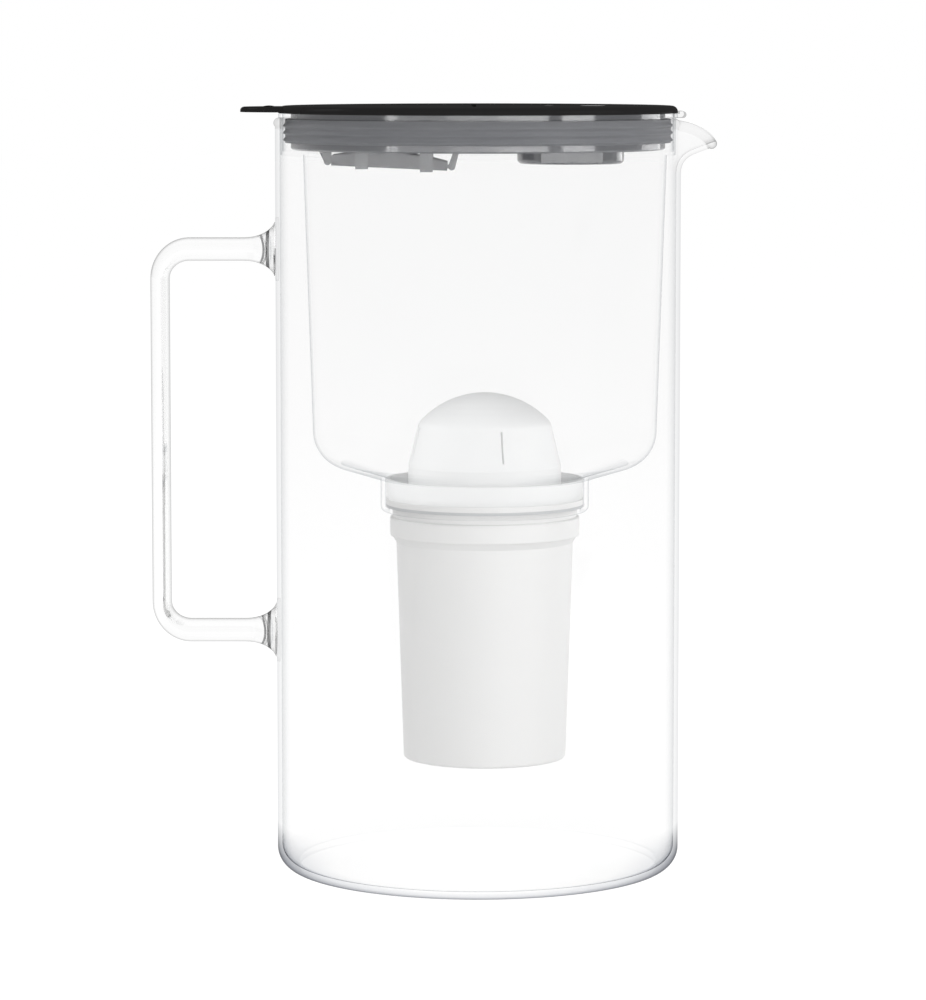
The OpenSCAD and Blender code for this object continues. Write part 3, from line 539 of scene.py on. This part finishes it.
# Places along the arm, as distances from the wall, close together in the flare
ARM_DISTANCES = (
    0, 0.05, 0.15, 0.3, 0.5, 0.75, 1.05, 1.4, 1.8, 2.3,
    2.9, 3.6, 4.5, 5.6, 7, 8.5, 10, 14, 18, 22,
)
FUSED_BANDS, NECK_BANDS = range(4), range(9, 11)


def handle_skin():
    """Glass rod: oval rings along the axis, flared where it is fused to the wall."""
    sides = 72

    def flare(d):
        t = max(0.0, min(1.0, (weld_l - d) / weld_l))
        return weld_flare * (1 - math.sqrt(1 - t * t))

    # A station is (x, z, heading in degrees, half the rod's height, what the flare adds)
    upper = [
        (-(jug_r + d), handle_upper_z, 180.0, arm_t / 2, flare(max(d, 0)))
        for d in (-weld_embed, *ARM_DISTANCES, arm_l)
    ]
    bend_steps = 28
    for i in range(1, bend_steps + 1):
        a = 90 * i / bend_steps
        turn = math.radians(a)
        half = (arm_t + (grip_t - arm_t) * (1 - math.cos(2 * turn)) / 2) / 2
        upper.append((
            grip_x + handle_bend_r * (1 - math.sin(turn)),
            handle_upper_z - handle_bend_r * (1 - math.cos(turn)),
            180 + a, half, 0.0,
        ))
    middle = (handle_upper_z + handle_lower_z) / 2
    lower = [(x, 2 * middle - z, 540 - heading, half, wide) for x, z, heading, half, wide in reversed(upper)]
    stations = upper + lower
    points = []
    for x, z, heading, half, wide in stations:
        turn = math.radians(heading)
        for k in range(sides):
            a = 2 * math.pi * k / sides
            off = (half + wide) * math.sin(a)
            across = (handle_w / 2 + wide * weld_side_share) * math.cos(a)
            points.append((x - off * math.sin(turn), across, z + off * math.cos(turn)))
    # Bands counted from each weld: the fused ones are like the wall, and the flare's neck gets painted
    # shade, a dark band in place of what refraction shows there
    slots = []
    for i in range(len(stations) - 1):
        band = min(i, len(stations) - 2 - i)
        slots.append(WELD if band in FUSED_BANDS else NECK if band in NECK_BANDS else ROD)
    faces = ring_faces(len(stations), sides, slots)
    end = (len(stations) - 1) * sides
    faces.append((tuple(range(sides - 1, -1, -1)), WELD))
    faces.append((tuple(end + k for k in range(sides)), WELD))
    return points, faces


# The funnel's material slots
HOPPER, INNER, TAB = range(3)


def funnel_skin():
    """Flange, collar, shoulder, hopper, floor and neck as one closed skin, and the pull tab."""
    columns = 256
    top = jug_h + flange_t
    bottom = shoulder_z - shoulder_t
    collar_middle = jug_h - 6
    edge_r = 0.35
    neck_corner_r = 1.7
    straight_steps = 8
    collar = [
        *arc(flange_r - edge_r, top - edge_r, edge_r, 90, 0, 4),
        (flange_r, jug_h),
        (collar_out, jug_h),
        (collar_out, collar_middle),
        (collar_out, bottom),
    ]
    turn = 90 - floor_slope
    cx = hopper_low_r - hopper_corner_r
    outer = arc(cx, hopper_low_z, hopper_corner_r, 0, -turn, 20)
    inner = arc(cx, hopper_low_z, hopper_corner_r - hopper_wall, -turn, 0, 20)
    slope = math.tan(math.radians(floor_slope))
    neck_top = outer[-1][1] - (outer[-1][0] - neck_r) * slope
    neck_in = neck_r - neck_wall
    neck_in_top = inner[0][1] - (inner[0][0] - neck_in) * slope
    seat_top = neck_z + seat_t

    def line(start, end, steps):
        (r0, z0), (r1, z1) = start, end
        return [(r0 + (r1 - r0) * i / steps, z0 + (z1 - z0) * i / steps) for i in range(steps + 1)]

    hopper = (
        line((hopper_r, bottom), (hopper_low_r, hopper_low_z), straight_steps)[:-1]
        + outer
        + line(outer[-1], (neck_r, neck_top), 4)[1:]
        + line((neck_r, neck_top), (neck_r, neck_z + neck_corner_r), 4)[1:-1]
        + arc(neck_r - neck_corner_r, neck_z + neck_corner_r, neck_corner_r, 0, -90, 8)
        + [(seat_r, neck_z), (seat_r, seat_top), (neck_in, seat_top)]
        + line((neck_in, seat_top), (neck_in, neck_in_top), 3)[1:]
        + line((neck_in, neck_in_top), inner[0], 4)[1:-1]
        + inner
        + line(inner[-1], (hopper_r - hopper_wall, shoulder_z), straight_steps)[1:]
    )
    inside = [(collar_in, shoulder_z), (collar_in, collar_middle), (collar_in, top)]
    rings = (
        [(0, r, z) for r, z in collar]
        + [(hopper_off, r, z) for r, z in hopper]
        + [(0, r, z) for r, z in inside]
    )
    points = []
    for axis, r, z in rings:
        for k in range(columns):
            a = 2 * math.pi * k / columns
            points.append((axis + r * math.cos(a), r * math.sin(a), z))
    # The shoulder's flat faces and the inner faces from the rounded corner up show no line of their own
    inner_end = len(rings) - len(inside)
    inner_start = inner_end - straight_steps - len(inner)
    slots = [HOPPER] * len(rings)
    slots[len(collar) - 1] = INNER
    slots[inner_start:inner_end] = [INNER] * (inner_end - inner_start)
    faces = ring_faces(len(rings), columns, slots, closed=True)
    # Pull tab: a plate on the rim with a round lip, as a bar with a rounded end along X
    root_x, lip_x = flange_r - 1.2, flange_r + 0.3
    end_r = pull_t / 2
    end_x = flange_r + pull_reach - end_r
    profile = (
        [(root_x, jug_h), (end_x, jug_h)]
        + arc(end_x, jug_h + end_r, end_r, -90, 90, 12)[1:]
        + [(lip_x, jug_h + pull_t), (lip_x, top), (root_x, top)]
    )
    half, side_strip = pull_w / 2, 0.4
    across = (-half, side_strip - half, 0, half - side_strip, half)
    first = len(points)
    n = len(profile)
    for y in across:
        points += [(x, y, z) for x, z in profile]
    for i in range(len(across) - 1):
        for k in range(n):
            a, b = first + i * n + k, first + i * n + (k + 1) % n
            faces.append(((a, b, b + n, a + n), TAB))
    last = first + (len(across) - 1) * n
    faces.append((tuple(first + k for k in range(n)), TAB))
    faces.append((tuple(last + k for k in range(n - 1, -1, -1)), TAB))
    return points, faces


def gasket_skin():
    """Gasket as a turned ring: its body in the lid's groove and its fins."""
    columns = 256
    end_share = 0.15  # plain band below the first fin and above the last, as a share of the pitch
    tip_low, tip_high, fin_top = 0.12, 0.3, 0.62  # heights on a fin, as shares of the pitch
    pitch = gasket_h / (fin_count + 2 * end_share)
    profile = [(gasket_in, gasket_z), (gasket_r, gasket_z)]
    for i in range(fin_count):
        foot = gasket_z + pitch * (i + end_share)
        profile += [(gasket_r, foot), (gasket_r + fin_l, foot + pitch * tip_low)]
        profile += [(gasket_r + fin_l, foot + pitch * tip_high), (gasket_r, foot + pitch * fin_top)]
    profile += [(gasket_r, gasket_z + gasket_h), (gasket_in, gasket_z + gasket_h)]
    turns = [2 * math.pi * k / columns for k in range(columns)]
    points = [(r * math.cos(a), r * math.sin(a), z) for r, z in profile for a in turns]
    return points, ring_faces(len(profile), columns, [0] * len(profile), closed=True)


def dress(piece, *look_names):
    """Gives a piece its looks, one material slot each."""
    for look in look_names:
        piece.data.materials.append(looks[look])


def gasket_piece():
    """The gasket drawn again as a smooth ring."""
    gasket = smooth_piece("gasket_ring", *gasket_skin(), crease=80)
    dress(gasket, "silicone")
    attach(gasket, "lid")
    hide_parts("lid_gasket")
    return gasket


def glass_pieces():
    """The jug, its handle and the funnel drawn again as smooth clear skins."""
    jug = smooth_piece("jug_glass", *jug_skin(), crease=40)
    jug_looks = (
        "wall_glass", "foot_glass", "inner_foot_glass", "floor_glass",
        "rim_glass", "beak_glass", "lip_glass",
    )
    dress(jug, *jug_looks)
    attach(jug, "jug")
    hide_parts("glass_jug")
    handle = smooth_piece("handle_glass", *handle_skin(), crease=50)
    dress(handle, "rod_glass", "weld_glass", "painted_dark_neck_glass")
    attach(handle, "jug")
    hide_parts("glass_handle")
    hopper = smooth_piece("funnel_clear", *funnel_skin(), crease=35)
    dress(hopper, "hopper_plastic", "inner_plastic", "tab_plastic")
    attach(hopper, "funnel")
    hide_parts("funnel")


glass_pieces()
gasket = gasket_piece()


# ---------------------------------------------------------------- floor, lights and camera

FLOOR_GLOW, WORLD_SEEN, WORLD_LIT = 0.9, 1.0, 0.5
FLOOR_SIZE, FLOOR_CELLS = 9.0, 24
AIM = Vector((0, 0, 0.13))
CAMERA_PLACE = (-0.00477, -1.401, 0.2626)
CAMERA_PITCH, CAMERA_LENS = 5.858, 157.9


def background(tree, strength):
    """A white world light."""
    node = add(tree, "ShaderNodeBackground", strength=strength)
    node.inputs["Color"].default_value = (1, 1, 1, 1)
    return node.outputs["Background"]


def white_floor():
    """Floor that the camera sees as white paper with the object's soft shadow on it."""
    material, tree, shader = new_material("white_paper")
    shader.inputs["Base Color"].default_value = (0.85, 0.85, 0.85, 1)
    shader.inputs["Roughness"].default_value = 0.9
    shader.inputs["Specular IOR Level"].default_value = 0.0
    fine_bump(tree, shader, scale=400.0, strength=0.05, distance=0.0001)
    paper = add(tree, "ShaderNodeBsdfDiffuse")
    paper.inputs["Color"].default_value = (0.2, 0.2, 0.2, 1)
    glow = add(tree, "ShaderNodeEmission")
    glow.inputs["Color"].default_value = (1, 1, 1, 1)
    glow.inputs["Strength"].default_value = FLOOR_GLOW
    seen = add(tree, "ShaderNodeAddShader")
    tree.links.new(paper.outputs["BSDF"], seen.inputs[0])
    tree.links.new(glow.outputs["Emission"], seen.inputs[1])
    eye = any_ray(tree, "Is Camera Ray", "Is Glossy Ray", "Is Transmission Ray")
    show(tree, mixed(tree, eye, shader.outputs["BSDF"], seen.outputs["Shader"]))
    mesh = bpy.data.meshes.new("floor")
    work = bmesh.new()
    bmesh.ops.create_grid(work, x_segments=FLOOR_CELLS, y_segments=FLOOR_CELLS, size=FLOOR_SIZE)
    work.to_mesh(mesh)
    work.free()
    mesh.materials.append(material)
    floor = bpy.data.objects.new("floor", mesh)
    scene.collection.objects.link(floor)
    return floor


def white_world():
    """White to the eye and through clear parts, dimmer in reflections and as light."""
    world = bpy.data.worlds.new("white_world")
    scene.world = world
    world.use_nodes = True
    tree = world.node_tree
    tree.nodes.remove(tree.nodes["Background"])
    eye = any_ray(tree, "Is Camera Ray", "Is Transmission Ray")
    shade = mixed(tree, eye, background(tree, WORLD_LIT), background(tree, WORLD_SEEN))
    tree.links.new(shade, tree.nodes["World Output"].inputs["Surface"])


def softbox(name, azimuth, height, distance, width, tall, radiance, receivers):
    """A soft light at an azimuth from the camera's side, turned to the object's middle."""
    data = bpy.data.lights.new(name, "AREA")
    data.shape = "RECTANGLE"
    data.size = width
    data.size_y = tall
    data.energy = radiance * math.pi * width * tall
    lamp = bpy.data.objects.new(name, data)
    scene.collection.objects.link(lamp)
    lamp.light_linking.receiver_collection = receivers
    angle = math.radians(azimuth)
    lamp.location = (distance * math.sin(angle), -distance * math.cos(angle), height)
    lamp.rotation_euler = (AIM - lamp.location).to_track_quat("-Z", "Y").to_euler()


def camera():
    """The photograph's view: level roll, pitched down, long lens, no shift."""
    data = bpy.data.cameras.new("camera")
    data.sensor_width = 36.0
    data.lens = CAMERA_LENS
    data.clip_end = 20.0
    made = bpy.data.objects.new("camera", data)
    made.location = CAMERA_PLACE
    made.rotation_euler = (math.radians(90 - CAMERA_PITCH), 0, 0)
    scene.collection.objects.link(made)
    scene.camera = made


def collection(name, members):
    """A collection of the objects that a lamp lights."""
    group = bpy.data.collections.new(name)
    for member in members:
        group.objects.link(member)
    return group


white_world()
floor = white_floor()
# Lamps light the floor and what isn't clear: glass would only show them as streaks
redrawn = ("glass_jug", "glass_handle", "funnel", "lid_gasket")
solid_nodes = [nodes[name] for name in finish_of if name not in redrawn]
lit_pieces = collection("lit_pieces", [floor, *solid_nodes, gasket])
cap_pieces = collection("cap_only", [nodes["cartridge_cap"], nodes["inlet_mesh"]])
# A lamp is (name, azimuth in degrees, height, distance, width, tall, radiance).
# The low lamps are what the glossy ring mirrors, from left to right; the high ones light the white parts.
LAMPS = [
    ("strip", -53, 0.16, 1.5, 0.19, 0.3, 4.0),
    ("front_left", -33.5, 0.16, 1.5, 0.83, 0.3, 1.2),
    ("front", -3, 0.16, 1.5, 0.79, 0.3, 2.3),
    ("front_right", 27, 0.16, 1.5, 0.81, 0.3, 3.4),
    ("key", 62.5, 0.16, 1.5, 0.6, 0.3, 4.0),
    ("rim", 133, 0.16, 1.5, 0.8, 0.3, 2.2),
    ("high", -8, 1.2, 1.4, 1.8, 1.0, 0.85),
    ("high_right", 75, 1.0, 1.3, 1.0, 0.8, 2.2),
    ("high_left", -115, 1.1, 1.2, 0.6, 0.6, 4.0),
]
# The lid shades the cap, so it has its own lamps
CAP_LAMPS = [
    ("cap_left", -78, 0.55, 1.2, 0.6, 0.6, 5.2),
    ("cap_right", 60, 0.55, 1.2, 0.6, 0.6, 1.8),
]
for lamp in LAMPS:
    softbox(*lamp, lit_pieces)
for lamp in CAP_LAMPS:
    softbox(*lamp, cap_pieces)
camera()
